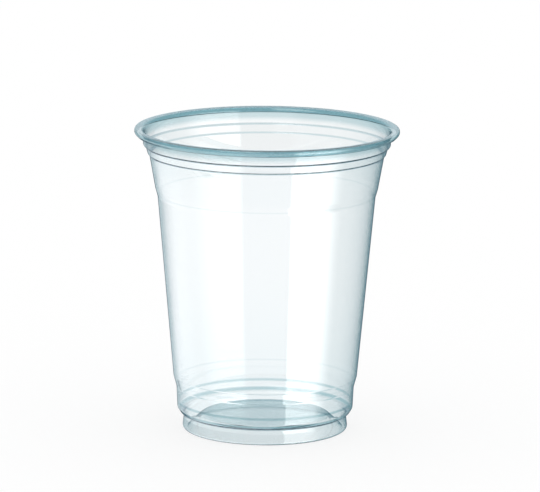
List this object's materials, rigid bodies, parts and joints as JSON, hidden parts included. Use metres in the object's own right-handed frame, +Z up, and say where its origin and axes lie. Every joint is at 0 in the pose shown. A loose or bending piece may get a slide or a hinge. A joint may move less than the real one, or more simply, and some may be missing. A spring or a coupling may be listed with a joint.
{
  "type": "plastic drinking cup",
  "caption": "Clear one-piece thermoformed cold-drink cup with a rolled rim, a stepped lid seat, a long tapered wall and a raised floor inside a standing ring.",
  "frame": {"origin": "centre of the standing ring, on the table plane", "axes": "+Z up along the cup's axis; X and Y across it, with no front or back"},
  "size_m": [0.0952, 0.0952, 0.1099],
  "materials": {
    "clear_plastic": "clear, glossy, with a faint cool tint where the sheet is seen edge on"
  },
  "bodies": {
    "root": {"cup": "clear_plastic"}
  },
  "joints": []
}
